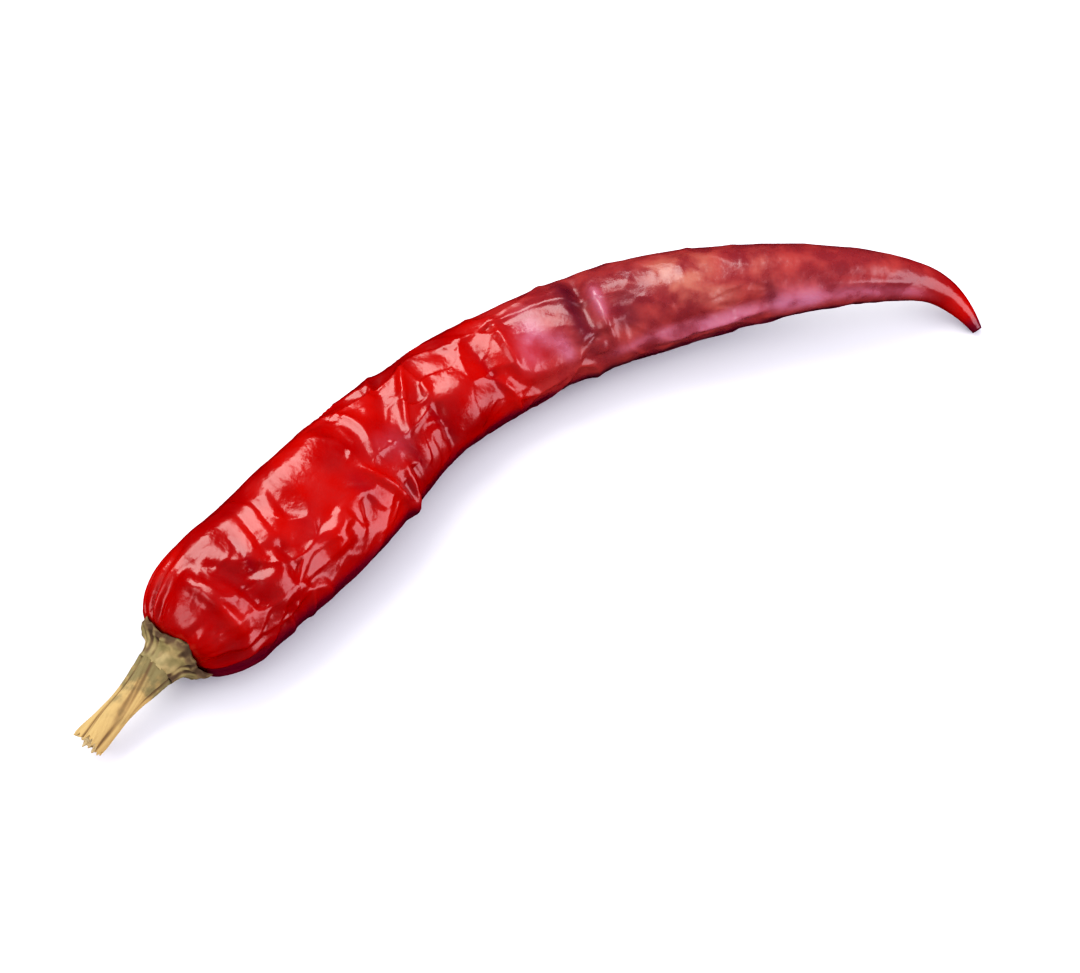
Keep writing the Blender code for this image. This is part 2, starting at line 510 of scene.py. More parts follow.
@dataclass
class WrinkledSkin:
    """The pod's skin, buckled by more skin than its flesh has room for.

    `inset` is how far the flesh has shrunk from the CAD surface. `spare_along` and `spare_around` are
    the spare skin along and round the pod as shares of a level's own: the first makes folds that run
    round the pod, and the second folds that run along it. `facet_share` is the facets' depth as a share
    of their own. All four go by share of the pod's length.

    The limits are how far the skin may lie out of its bed or inside it, and each hold is how much
    harder than a level's own the bed draws it back from there. `give` is the share of a wrong length
    that one pull takes away. `ruffle` is the height of the unevenness that the skin starts with, and
    `pucker` that of the gathers at the neck. The patches are places with more or less skin to spare.
    """

    body: PodBody
    folds: tuple[Spot, ...]
    calm: tuple[Spot, ...]
    facets: tuple[Facets, ...]
    levels: tuple[Shrinking, ...]
    inset: Stations = (
        (0.00, 0.12 * MM), (0.25, 0.10 * MM), (0.45, -0.08 * MM), (0.60, -0.24 * MM),
        (0.95, -0.24 * MM), (1.00, -0.08 * MM),
    )
    spare_along: Stations = (
        (0.00, 0.50), (0.06, 1.00), (0.30, 1.20), (0.42, 0.60), (0.50, 0.55), (0.60, 0.70),
        (0.80, 0.30), (1.00, 0.05),
    )
    spare_around: Stations = (
        (0.00, 1.20), (0.06, 0.80), (0.30, 0.70), (0.42, 0.50), (0.60, 0.60), (0.80, 0.70),
        (0.94, 0.60), (1.00, 0.10),
    )
    facet_share: Stations = (
        (0.00, 0.20), (0.05, 0.80), (0.10, 1.00), (0.50, 0.90), (0.62, 0.50), (0.80, 0.30),
        (0.93, 0.15), (1.00, 0.00),
    )
    outward_limit: float = 0.30 * MM
    inward_limit: float = 0.35 * MM
    outward_hold: float = 0.5
    inward_hold: float = 3.0
    sideways_hold: float = 1.5
    give: float = 0.5
    ruffle: float = 0.04 * MM
    ruffle_size: float = 2.2 * MM
    patch_size: float = 7 * MM
    patch_level: float = 0.85
    patch_swing: float = 0.75
    patch_range: tuple[float, float] = (0.1, 1.6)
    pucker: float = 0.15 * MM

    def spare(self, grid: SkinGrid, stations: Stations, seed: int) -> np.ndarray:
        """Spare skin one way at each point: smooth patches alternate with crumpled ones.

        Args:
            grid: the grid on the pod.
            stations: how much there is along the pod.
            seed: the seed of the patches.

        Returns:
            One share for each point.
        """
        patches = SpaceNoise(self.patch_size, seed).at(grid.points())
        patchy = np.clip(self.patch_level + self.patch_swing * patches, *self.patch_range)
        return read_curve(stations, grid.shares)[:, None] * (patchy * self.calmness(grid))

    def calmness(self, grid: SkinGrid) -> np.ndarray:
        """What is left of the wrinkles at each point: less on the skin's smooth places."""
        return np.clip(1 - spread(self.calm, grid), 0.0, 1.0)

    def puckers(self, grid: SkinGrid) -> np.ndarray:
        """The height of the gathers that run from the calyx down the shoulder.

        Args:
            grid: the grid on the pod.

        Returns:
            One height for each point.
        """
        here = smooth_step(0.0, 0.015, grid.shares) * smooth_step(0.095, 0.02, grid.shares)
        turn = grid.angles + 0.5 * np.sin(2 * grid.angles + 1.0)
        gathers = np.cos(11 * turn) + 0.6 * np.cos(17 * turn + 2.0) + 0.5 * np.cos(5 * turn + 0.5)
        return here[:, None] * gathers[None, :] * self.pucker

    def bed_points(self, grid: SkinGrid) -> np.ndarray:
        """The shrunken flesh that the skin lies on, with its low lobes and the listed folds.

        Args:
            grid: the grid on the pod.

        Returns:
            An array of rings by columns by 3.
        """
        angle = grid.angles[None, :]
        run = grid.shares[:, None] * grid.body.length / MM
        fade = (smooth_step(0.0, 0.12, grid.shares) * smooth_step(1.0, 0.9, grid.shares))[:, None]
        lobes = 0.035 * np.cos(2 * angle + 0.05 * run) + 0.03 * np.cos(3 * angle - 0.09 * run + 1.0)
        inset = read_curve(self.inset, grid.shares)[:, None]
        points = grid.points(inset, 1.0 + fade * (lobes - 0.02))
        sunk = sum(facets.height(grid) for facets in self.facets)
        depth = read_curve(self.facet_share, grid.shares)[:, None]
        rise = spread(self.folds, grid) * MM + sunk * depth * self.calmness(grid)
        rise += self.puckers(grid)
        return points + grid_normals(points) * rise[..., None]

    def relax(self, skin: np.ndarray, bed: np.ndarray, grid: SkinGrid, level: Shrinking) -> np.ndarray:
        """Lets the skin buckle on its bed.

        Args:
            skin: where the skin's points start.
            bed: the points that they are drawn to.
            grid: the grid that both are on.
            level: how the skin behaves at this level.

        Returns:
            The skin's points when it has come to rest.
        """
        along = 1 + level.spare * self.spare(grid, self.spare_along, seed=11)
        around = 1 + level.spare * self.spare(grid, self.spare_around, seed=12)
        down = bed[1:] - bed[:-1]
        across = np.roll(bed, -1, axis=1) - bed
        grown_down = np.linalg.norm(down, axis=-1) * (along[1:] + along[:-1]) / 2
        grown_across = np.linalg.norm(across, axis=-1) * around
        lean = (down * across[:-1]).sum(axis=-1) * along[:-1] * around[:-1]
        square = grown_down**2 + grown_across[:-1] ** 2
        falling = np.sqrt(np.maximum(square + 2 * lean, TINY))
        rising = np.sqrt(np.maximum(square - 2 * lean, TINY))
        normals = grid_normals(bed)
        for _ in range(level.steps):
            for first in (0, 1):
                pull_rows(skin, first, 0, grown_down, self.give)
                pull_rows(skin, first, 1, falling, self.give / 2)
                pull_rows(skin, first, -1, rising, self.give / 2)
                pull_columns(skin, first, grown_across, self.give)
            lift = skin - bed
            lift -= level.stiffness * curvature(curvature(lift))
            out = (lift * normals).sum(axis=-1, keepdims=True)
            sideways = lift - out * normals
            hold = np.where(out > 0, self.outward_hold, self.inward_hold)
            held = np.clip(out * (1 - hold * level.bed), -self.inward_limit, self.outward_limit)
            skin = bed + held * normals + sideways * (1 - self.sideways_hold * level.bed)
            skin[..., 2] = np.maximum(skin[..., 2], 0.0)
        return skin

    def points(self) -> tuple[SkinGrid, np.ndarray, np.ndarray]:
        """Wrinkles the skin level by level.

        Returns:
            The finest grid, the skin's points on it, and how far each lies out from or inside its bed.
        """
        skin_lift: np.ndarray | None = None
        before: SkinGrid | None = None
        for level in self.levels:
            grid = SkinGrid(self.body, level.rings, level.columns)
            bed = self.bed_points(grid)
            if skin_lift is not None and before is not None:
                bed = bed + finer(skin_lift, before, grid)
            ruffled = SpaceNoise(self.ruffle_size, level.seed).at(bed) * self.ruffle
            skin = bed + grid_normals(bed) * ruffled[..., None]
            skin = self.relax(skin, bed, grid, level)
            skin_lift, before = skin - self.bed_points(grid), grid
            LOG.info("skin level of %d by %d points", level.rings, level.columns)
        out = (skin_lift * grid_normals(self.bed_points(grid))).sum(axis=-1)
        return grid, skin, out


def pull(apart: np.ndarray, wanted: np.ndarray, give: float) -> np.ndarray:
    """How far the first of each pair of points moves towards the second, which moves as far back."""
    length = np.linalg.norm(apart, axis=-1)
    return apart * ((length - wanted) / np.maximum(length, SHORTEST) * give / 2)[..., None]


def pull_rows(skin: np.ndarray, first: int, skew: int, lengths: np.ndarray, give: float) -> None:
    """Draws pairs of points in neighbouring rings towards their lengths.

    Args:
        skin: the points, which are moved.
        first: 0 for pairs whose first ring is even, 1 where it is odd.
        skew: how many columns further round the second point lies.
        lengths: each pair's length, by its first point.
        give: the share of the error that is taken away.
    """
    near = skin[first:-1:2]
    far = np.roll(skin[first + 1 :: 2], -skew, axis=1)
    if skew < 0:
        wanted = np.roll(lengths, 1, axis=1)[first::2]
    else:
        wanted = lengths[first::2]
    step = pull(far - near, wanted, give)
    skin[first:-1:2] += step
    skin[first + 1 :: 2] -= np.roll(step, skew, axis=1)


def pull_columns(skin: np.ndarray, first: int, lengths: np.ndarray, give: float) -> None:
    """Draws pairs of neighbouring points in each ring towards their lengths, as pull_rows does.

    Args:
        skin: the points, which are moved.
        first: 0 for pairs whose first column is even, 1 where it is odd.
        lengths: each pair's length, by its first point.
        give: the share of the error that is taken away.
    """
    turned = np.roll(skin, -first, axis=1)
    wanted = np.roll(lengths, -first, axis=1)[:, ::2]
    step = pull(turned[:, 1::2] - turned[:, ::2], wanted, give)
    turned[:, ::2] += step
    turned[:, 1::2] -= step
    skin[:] = np.roll(turned, first, axis=1)


def curvature(lift: np.ndarray) -> np.ndarray:
    """How far each point of a grid lies from the mean of its four neighbours, times four.

    Args:
        lift: rings by columns by 3.

    Returns:
        An array of the same shape.
    """
    padded = np.concatenate([lift[:1], lift, lift[-1:]])
    rows = padded[2:] + padded[:-2]
    return rows + np.roll(lift, 1, axis=1) + np.roll(lift, -1, axis=1) - 4 * lift


def finer(values: np.ndarray, coarse: SkinGrid, fine: SkinGrid) -> np.ndarray:
    """Reads values on a coarse grid at the points of a finer one.

    Args:
        values: rings by columns by 3, on the coarse grid.
        coarse: the grid that they are on.
        fine: the grid to read them on.

    Returns:
        The values on the fine grid.
    """
    rows = np.interp(fine.shares, coarse.shares, np.arange(coarse.rings))
    columns = fine.angles / FULL_TURN * coarse.columns
    low = np.minimum(rows.astype(int), coarse.rings - 2)
    left = columns.astype(int)
    by_row = sum(
        weight[:, None, None] * values[np.clip(low + shift, 0, coarse.rings - 1)]
        for shift, weight in enumerate(smooth_cubic(rows - low), -1)
    )
    return sum(
        weight[None, :, None] * by_row[:, (left + shift) % coarse.columns]
        for shift, weight in enumerate(smooth_cubic(columns - left), -1)
    )


def smooth_cubic(t: np.ndarray) -> tuple[np.ndarray, np.ndarray, np.ndarray, np.ndarray]:
    """The four weights of a cubic B-spline at a share of the way between its two middle points.

    Args:
        t: the shares of the way.

    Returns:
        Four arrays of weights, which add up to 1.
    """
    return (
        (1 - t) ** 3 / 6,
        (3 * t**3 - 6 * t**2 + 4) / 6,
        (-3 * t**3 + 3 * t**2 + 3 * t + 1) / 6,
        t**3 / 6,
    )


# ----------------------------------------------------------------------
# Finishes
# ----------------------------------------------------------------------


class Shader:
    """A material's node tree with short calls to build it."""

    def __init__(self, name: str) -> None:
        """Starts a material whose only node is a Principled shader.

        Args:
            name: the material's name.
        """
        self.material = bpy.data.materials.new(name)
        self.material.use_nodes = True
        self.tree = self.material.node_tree
        self.principled = self.tree.nodes["Principled BSDF"]
        self.coordinates = self.node("ShaderNodeTexCoord").outputs["Object"]

    def node(self, kind: str, **settings: object) -> bpy.types.Node:
        """Adds a node of a kind with its settings.

        Args:
            kind: the node's type.
            settings: its properties by name.

        Returns:
            The node.
        """
        made = self.tree.nodes.new(kind)
        for name, value in settings.items():
            setattr(made, name, value)
        return made

    def feed(self, socket: bpy.types.NodeSocket, source: object) -> None:
        """Links a socket to a source socket, or sets its value.

        Args:
            socket: an input.
            source: an output, or a value.
        """
        if isinstance(source, bpy.types.NodeSocket):
            self.tree.links.new(source, socket)
        else:
            socket.default_value = source

    def set(self, **values: object) -> None:
        """Sets the Principled shader's inputs; an underscore in a name stands for a space."""
        for name, value in values.items():
            self.feed(self.principled.inputs[name.replace("_", " ")], value)

    def noise(self, scale: float, detail: float) -> object:
        """Noise of `scale` waves a metre, as a value near 0.5.

        Args:
            scale: waves a metre.
            detail: how many finer levels are added.

        Returns:
            The noise's output.
        """
        made = self.node("ShaderNodeTexNoise")
        self.feed(made.inputs["Vector"], self.coordinates)
        made.inputs["Scale"].default_value = scale
        made.inputs["Detail"].default_value = detail
        return made.outputs["Fac"]

    def attributes(self, *names: str) -> list[object]:
        """Some of the mesh's own values."""
        return [self.node("ShaderNodeAttribute", attribute_name=name).outputs["Fac"] for name in names]

    def ramp(
        self, value: object, low: float, high: float, bottom: float = 0.0, top: float = 1.0
    ) -> object:
        """A value turned into `bottom` below `low`, `top` above `high`, and smooth between.

        Args:
            value: what is read.
            low: the value where it starts.
            high: the value where it ends.
            bottom: the result at its start.
            top: the result at its end.

        Returns:
            The result's output.
        """
        made = self.node("ShaderNodeMapRange", interpolation_type="SMOOTHSTEP")
        self.feed(made.inputs["Value"], value)
        ends = {"From Min": low, "From Max": high, "To Min": bottom, "To Max": top}
        for name, end in ends.items():
            made.inputs[name].default_value = end
        return made.outputs["Result"]

    def math(self, operation: str, first: object, second: object) -> object:
        """A sum, product or other operation on two values.

        Args:
            operation: the operation's name.
            first: an output or a number.
            second: the other one.

        Returns:
            The result's output.
        """
        made = self.node("ShaderNodeMath", operation=operation)
        self.feed(made.inputs[0], first)
        self.feed(made.inputs[1], second)
        return made.outputs[0]

    def blend(self, share: object, first: object, second: object) -> object:
        """A colour between two colours.

        Args:
            share: how much there is of the second.
            first: a colour or its output.
            second: the other one.

        Returns:
            The colour's output.
        """
        made = self.node("ShaderNodeMix", data_type="RGBA")
        self.feed(made.inputs["Factor"], share)
        self.feed(made.inputs["A"], first)
        self.feed(made.inputs["B"], second)
        return made.outputs["Result"]

    def bump(self, height: object, distance: float, strength: float, under: object = None) -> object:
        """A bumped normal, over another one where that is given.

        Args:
            height: the heights' output.
            distance: the bumps' height in metres.
            strength: how much of the bumps is used.
            under: the normal under them.

        Returns:
            The normal's output.
        """
        made = self.node("ShaderNodeBump")
        self.feed(made.inputs["Height"], height)
        made.inputs["Distance"].default_value = distance
        made.inputs["Strength"].default_value = strength
        if under is not None:
            self.feed(made.inputs["Normal"], under)
        return made.outputs["Normal"]


@dataclass(frozen=True)
class ChilliSkin:
    """Glossy dried chilli skin: blood red at the stem end, dusky on the tail, bright on the hook.
    Painted shade lies in its creases, dents and underside, and painted highlights stand for reflections
    of the sky and the floor.

    `patches`, `mottle`, `crease` and `grain` are the waves a metre of its unevenness, broad to fine.
    """

    blood: Colour = (0.195, 0.0007, 0.0010, 1.0)
    bright: Colour = (0.27, 0.003, 0.0010, 1.0)
    # painted shade colour, laid where the skin sinks into its creases
    crease_shade: Colour = (0.09, 0.0006, 0.004, 1.0)
    dusky: Colour = (0.150, 0.019, 0.024, 1.0)
    rust: Colour = (0.245, 0.036, 0.030, 1.0)
    tan: Colour = (0.31, 0.115, 0.080, 1.0)
    # painted highlight colour, for reflections of the sky and the floor
    painted_sheen: Colour = (0.36, 0.14, 0.19, 1.0)
    # painted shade colour for the dents and the underside; it also deepens the very tip
    hollow: Colour = (0.070, 0.003, 0.016, 1.0)
    patches: float = 150.0
    mottle: float = 520.0
    crease: float = 1100.0
    crease_depth: float = 0.12 * MM
    grain: float = 2400.0
    grain_depth: float = 0.04 * MM
    gloss: tuple[float, float] = (0.16, 0.27)
    duller_tail: float = 0.09

    def material(self) -> bpy.types.Material:
        """Builds the skin's material from the values that the pod's mesh carries.

        Returns:
            The material.
        """
        shader = Shader("chilli_skin")
        lift, tail, tan, painted_sheen, painted_shade = shader.attributes("lift", "tail", "tan", "painted_sheen", "painted_shade")
        mottle = shader.noise(self.mottle, 3.0)
        patches = shader.noise(self.patches, 2.0)
        red = shader.blend(shader.ramp(patches, 0.36, 0.60), self.blood, self.bright)
        brown = shader.blend(shader.ramp(mottle, 0.32, 0.72), self.dusky, self.rust)
        colour = shader.blend(tail, red, brown)
        tan = shader.math("MULTIPLY", tan, shader.ramp(mottle, 0.30, 0.62, 0.15, 1.0))
        colour = shader.blend(tan, colour, self.tan)
        # painted highlights: pale pink patches, broken up by the mottle, for reflections of the sky and
        # the floor
        painted_sheen = shader.math("MULTIPLY", painted_sheen, shader.ramp(mottle, 0.30, 0.56, 0.35, 1.0))
        colour = shader.blend(painted_sheen, colour, self.painted_sheen)
        # painted shade in the dents and along the underside, and the very tip's deeper colour
        colour = shader.blend(shader.ramp(painted_shade, 0.0, 1.0), colour, self.hollow)
        # painted shade: crimson where the skin sinks into its creases
        colour = shader.blend(shader.ramp(lift, 0.15, -0.7), colour, self.crease_shade)
        gloss = shader.ramp(mottle, 0.3, 0.7, *self.gloss)
        duller = shader.math("MULTIPLY", tail, self.duller_tail)
        shader.set(Base_Color=colour, Roughness=shader.math("ADD", gloss, duller))
        shader.set(IOR=1.5, Specular_IOR_Level=0.72, Subsurface_Weight=0.05)
        shader.set(Subsurface_Radius=(1.0, 0.1, 0.06), Subsurface_Scale=0.5 * MM)
        creases = shader.bump(shader.noise(self.crease, 4.0), self.crease_depth, 0.5)
        shader.set(Normal=shader.bump(shader.noise(self.grain, 3.0), self.grain_depth, 0.35, creases))
        return shader.material


@dataclass(frozen=True)
class DryCalyx:
    """The calyx's matt grey olive, with brown painted shade in its hollows and a dry brown edge.

    `mottle` and `grain` are the waves a metre of its unevenness.
    """

    olive: Colour = (0.17, 0.14, 0.06, 1.0)
    straw: Colour = (0.26, 0.20, 0.09, 1.0)
    # the dry edge's brown, also used as painted shade in the hollows
    brown: Colour = (0.075, 0.045, 0.02, 1.0)
    mottle: float = 1100.0
    grain: float = 3800.0
    grain_depth: float = 0.05 * MM
    roughness: float = 0.72

    def material(self) -> bpy.types.Material:
        """Builds the calyx's material from the values that its mesh carries.

        Returns:
            The material.
        """
        shader = Shader("dry_calyx")
        lift, edge = shader.attributes("lift", "edge")
        mottle = shader.noise(self.mottle, 5.0)
        colour = shader.blend(shader.ramp(mottle, 0.35, 0.68), self.olive, self.straw)
        # painted shade: brown where the crumple sinks in
        colour = shader.blend(shader.ramp(lift, 0.1, -0.9), colour, self.brown)
        dry = shader.math("MULTIPLY", edge, shader.ramp(mottle, 0.3, 0.6))
        colour = shader.blend(dry, colour, self.brown)
        shader.set(Base_Color=colour, Roughness=self.roughness)
        shader.set(Normal=shader.bump(shader.noise(self.grain, 4.0), self.grain_depth, 0.6))
        return shader.material


@dataclass(frozen=True)
class DryStalk:
    """The stalk's matt straw colour: olive near the calyx, with painted shade in its grooves, pale
    where it is cut.

    `mottle` and `grain` are the waves a metre of its unevenness.
    """

    straw: Colour = (0.33, 0.22, 0.085, 1.0)
    olive: Colour = (0.14, 0.115, 0.05, 1.0)
    # painted shade colour for the grooves
    furrow_shade: Colour = (0.085, 0.05, 0.02, 1.0)
    pith: Colour = (0.45, 0.35, 0.19, 1.0)
    mottle: float = 800.0
    grain: float = 3800.0
    grain_depth: float = 0.05 * MM
    roughness: float = 0.78

    def material(self) -> bpy.types.Material:
        """Builds the stalk's material from the values that its mesh carries.

        Returns:
            The material.
        """
        shader = Shader("dry_stalk")
        furrow_shade, along, cut = shader.attributes("furrow_shade", "along", "cut")
        mottle = shader.noise(self.mottle, 5.0)
        place = shader.math("ADD", along, shader.ramp(mottle, 0.3, 0.7, -0.25, 0.25))
        colour = shader.blend(shader.ramp(place, 0.1, 0.6), self.olive, self.straw)
        # painted shade in the grooves between the ribs, with fine streaks along the fibres
        colour = shader.blend(shader.ramp(furrow_shade, 0.45, 1.0, 0.0, 0.8), colour, self.furrow_shade)
        pale = shader.math("MULTIPLY", cut, shader.ramp(mottle, 0.35, 0.6, 0.3, 1.0))
        colour = shader.blend(pale, colour, self.pith)
        shader.set(Base_Color=colour, Roughness=self.roughness)
        shader.set(Normal=shader.bump(shader.noise(self.grain, 4.0), self.grain_depth, 0.5))
        return shader.material


# ----------------------------------------------------------------------
# The pieces
# ----------------------------------------------------------------------


class Piece(Enum):
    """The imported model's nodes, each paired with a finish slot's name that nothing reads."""

    SKIN = ("pod", "pod_skin")
    CALYX = ("calyx", "calyx")
    STALK = ("pedicel", "pedicel")


def fit(piece: bpy.types.Object, place: Piece, material: bpy.types.Material) -> None:
    """Dresses a piece and puts it in the place of its node.

    Args:
        piece: the piece.
        place: the node that it stands for.
        material: its finish.
    """
    piece.data.materials.append(material)
    node, slot = place.value
    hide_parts(node)
    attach(piece, BODY)


def put(name: str, data: bpy.types.ID) -> bpy.types.Object:
    """A new object in the scene, with its mesh, light or lens.

    Args:
        name: the object's name.
        data: what it shows.

    Returns:
        The object, in the scene.
    """
    made = bpy.data.objects.new(name, data)
    bpy.context.scene.collection.objects.link(made)
    return made


def grid_mesh(name: str, points: np.ndarray, values: dict[str, np.ndarray]) -> bpy.types.Object:
    """A closed mesh object from a grid of points that closes round its columns.

    Args:
        name: the object's name.
        points: rings by columns by 3. Seen from outside the first ring, they run against the clock.
        values: values for each point, kept on the mesh under their names.

    Returns:
        The object, in the scene.
    """
    rings, columns = points.shape[:2]
    ends = np.stack([points[0].mean(axis=0), points[-1].mean(axis=0)])
    vertices = np.vstack([points.reshape(-1, 3), ends])
    index = np.arange(rings * columns).reshape(rings, columns)
    beside = np.roll(index, -1, axis=1)
    sides = np.stack([index[:-1], index[1:], beside[1:], beside[:-1]], axis=-1).reshape(-1, 4)
    first = [(int(a), int(b), rings * columns) for a, b in zip(index[0], beside[0])]
    last = [(int(b), int(a), rings * columns + 1) for a, b in zip(index[-1], beside[-1])]
    mesh = bpy.data.meshes.new(name)
    mesh.from_pydata(vertices.tolist(), [], sides.tolist() + first + last)
    for label, numbers in values.items():
        kept = mesh.attributes.new(label, "FLOAT", "POINT")
        ends_too = np.concatenate([numbers.reshape(-1), [numbers[0].mean(), numbers[-1].mean()]])
        kept.data.foreach_set("value", ends_too.astype(np.float32))
    mesh.validate()
    mesh.shade_smooth()
    return put(name, mesh)


@dataclass
class Pod:
    """The wrinkled pod. Its finish counts `full_lift` as a whole step out of or into its bed."""

    body: PodBody = field(default_factory=PodBody)
    finish: ChilliSkin = field(default_factory=ChilliSkin)
    full_lift: float = 0.5 * MM

    def folds(self) -> tuple[Spot, ...]:
        """The folds, dents and knobs placed by hand, from the neck to the tip.

        Returns:
            The spots, with heights in millimetres.
        """
        return (
            Spot(0.052, 70, 3.6, 0.52, 0.40),
            Spot(0.076, 74, 3.2, 0.75, -0.22),
            Spot(0.045, 16, 0.9, 0.9, 0.40),
            Spot(0.020, 49, 0.9, 0.9, 0.25),
            Spot(0.092, 128, 1.6, 1.7, 0.35),
            Spot(0.136, 99, 3.2, 2.6, -0.42, 0),
            Spot(0.115, 101, 2.3, 0.56, 0.16, 78, 3),
            Spot(0.135, 97, 2.6, 0.56, 0.15, 80, 3),
            Spot(0.155, 101, 1.9, 0.52, 0.16, 76, 3),
            Spot(0.111, 43, 1.8, 1.7, 0.34, 90, 4),
            Spot(0.130, 50, 2.2, 0.5, -0.20, 80),
            Spot(0.214, 124, 4.2, 2.2, 0.48, 0),
            Spot(0.185, 40, 1.1, 1.0, 0.35),
            Spot(0.200, 50, 0.8, 0.7, 0.22),
            Spot(0.228, 40, 1.2, 0.7, -0.22, 60),
            Spot(0.262, 32, 3.2, 0.32, 0.42, 104),
            Spot(0.278, 10, 2.4, 0.32, 0.38, 80),
            Spot(0.270, 22, 1.0, 0.9, -0.25),
            Spot(0.295, 66, 1.6, 1.3, 0.25),
            Spot(0.345, 90, 3.4, 0.34, 0.40, 50),
            Spot(0.325, 100, 2.8, 0.7, -0.20, 50),
            Spot(0.405, 48, 2.3, 2.1, 0.50),
            Spot(0.365, 40, 2.4, 0.60, -0.30, 80),
            Spot(0.448, 70, 2.6, 0.60, -0.28, 90),
            Spot(0.480, 84, 2.6, 0.42, 0.34, 88),
            Spot(0.516, 74, 2.4, 2.2, -0.22),
            Spot(0.572, 90, 3.2, 0.70, -0.60, 88),
            Spot(0.588, 66, 2.4, 0.34, 0.30, 92),
            Spot(0.573, 30, 0.7, 0.7, 0.28),
            Spot(0.611, 62, 1.8, 1.4, -0.30),
            Spot(0.675, 84, 1.8, 1.6, 0.20),
            Spot(0.700, 46, 1.5, 1.2, 0.18),
            Spot(0.700, 6, 4.5, 0.45, 0.28, 4),
            Spot(0.700, 26, 4.0, 0.55, -0.22, 4),
            Spot(0.766, 34, 1.3, 0.45, -0.12, 90),
            Spot(0.796, 30, 1.6, 0.6, 0.22, 0),
            Spot(0.860, 44, 3.0, 0.4, 0.20, 2),
        )

    def calm(self) -> tuple[Spot, ...]:
        """The smooth places between the wrinkles.

        Returns:
            The spots, with the share of the wrinkles that each takes away.
        """
        return (
            Spot(0.214, 92, 4.2, 2.4, 0.9, 80),
            Spot(0.111, 43, 1.6, 1.8, 0.9),
            Spot(0.137, 95, 2.6, 2.2, 0.85),
            Spot(0.405, 52, 4.2, 3.0, 0.75),
            Spot(0.516, 76, 3.4, 2.6, 0.8),
            Spot(0.250, 150, 30.0, 2.2, 0.7, 0),
            Spot(0.300, -18, 24.0, 2.0, 0.6, 0),
            Spot(0.640, 70, 5.0, 4.0, 0.5, 0),
            Spot(0.100, 128, 2.6, 2.2, 0.7),
            Spot(0.920, 90, 12.0, 9.0, 0.5, 0),
        )

    def levels(self) -> tuple[Shrinking, ...]:
        """The skin's levels, from broad folds to fine creases.

        Returns:
            The levels in order.
        """
        return (
            Shrinking(121, 50, 100, 0.02, 0.012, 0.012, 5),
            Shrinking(241, 100, 150, 0.035, 0.012, 0.022, 6),
            Shrinking(481, 200, 60, 0.03, 0.012, 0.040, 7),
        )

    def facets(self) -> tuple[Facets, ...]:
        """The skin's facets, broad and small.

        Returns:
            The two kinds.
        """
        return (
            Facets(5.0 * MM, 4.0 * MM, 0.40 * MM, 0.32 * MM, 4.5, 31),
            Facets(2.1 * MM, 1.7 * MM, 0.07 * MM, 0.08 * MM, 4.0, 37),
        )

    def build(self) -> bpy.types.Object:
        """Makes the pod's mesh and dresses it.

        Returns:
            The object, in the scene.
        """
        skin = WrinkledSkin(self.body, self.folds(), self.calm(), self.facets(), self.levels())
        grid, points, out = skin.points()
        values = {"lift": out / self.full_lift, **self.colour_shares(grid)}
        pod = grid_mesh("pod_skin", points, values)
        fit(pod, Piece.SKIN, self.finish.material())
        return pod

    def colour_shares(self, grid: SkinGrid) -> dict[str, np.ndarray]:
        """How much of each of the finish's colours there is at each point, by name.

        Args:
            grid: the grid on the pod.

        Returns:
            A value for each point, by the name that the finish reads.
        """
        wander = 0.012 * SpaceNoise(5 * MM, seed=21).at(grid.points())
        share = grid.shares[:, None] + wander
        tail = smooth_step(0.44, 0.58, share) * smooth_step(0.96, 0.89, share)
        tan = (
            Spot(0.664, 92, 1.7, 1.4, 0.68),
            Spot(0.690, 66, 1.2, 1.5, 0.58),
            Spot(0.702, 100, 1.2, 1.0, 0.5),
            Spot(0.716, 46, 1.1, 1.2, 0.45),
            Spot(0.760, 84, 2.0, 1.0, 0.25),
        )
        # painted highlights: the pale waist patch and smaller ones for the sky's reflection, and the
        # pink row along the tail's underside for the floor's
        painted_sheen = (
            Spot(0.505, 78, 2.6, 1.1, 0.38, 75),
            Spot(0.524, 62, 2.2, 0.8, 0.33, 120),
            Spot(0.536, 48, 1.3, 0.5, 0.34, 95),
            Spot(0.588, 84, 1.5, 0.5, 0.6),
            Spot(0.295, 65, 1.5, 1.5, 0.15),
            Spot(0.791, 18, 1.9, 1.0, 0.8, 0),
            Spot(0.868, 20, 4.4, 0.6, 0.6, 0),
            Spot(0.705, 12, 4.2, 0.7, 0.7, 3),
            Spot(0.620, 14, 2.6, 0.6, 0.4, 5),
        )
        # painted shade in the dents, creases and hollows between the highlights
        painted_shade = (
            Spot(0.562, 88, 3.6, 1.0, 0.75),
            Spot(0.612, 62, 1.8, 1.4, 0.55),
            Spot(0.448, 66, 2.8, 0.6, 0.3),
            Spot(0.362, 42, 2.6, 0.6, 0.3),
            Spot(0.272, 22, 1.0, 0.8, 0.35),
            Spot(0.766, 34, 1.6, 0.5, 0.4),
            Spot(0.630, 110, 2.2, 1.4, 0.3),
            Spot(0.170, 64, 2.2, 1.0, 0.25),
            Spot(0.238, 56, 2.2, 0.9, 0.35),
            Spot(0.305, 38, 1.8, 0.8, 0.35),
            Spot(0.100, 80, 2.6, 0.4, 0.30, 80),
        )
        # painted shade along the underside: a narrower band on the tail, fading out before the hook
        higher = 0.35 * smooth_step(0.35, 0.65, grid.shares)[:, None]
        below = smooth_step(0.25, -0.15, np.sin(grid.angles)[None, :] + higher)
        below = below * smooth_step(0.98, 0.90, grid.shares)[:, None]
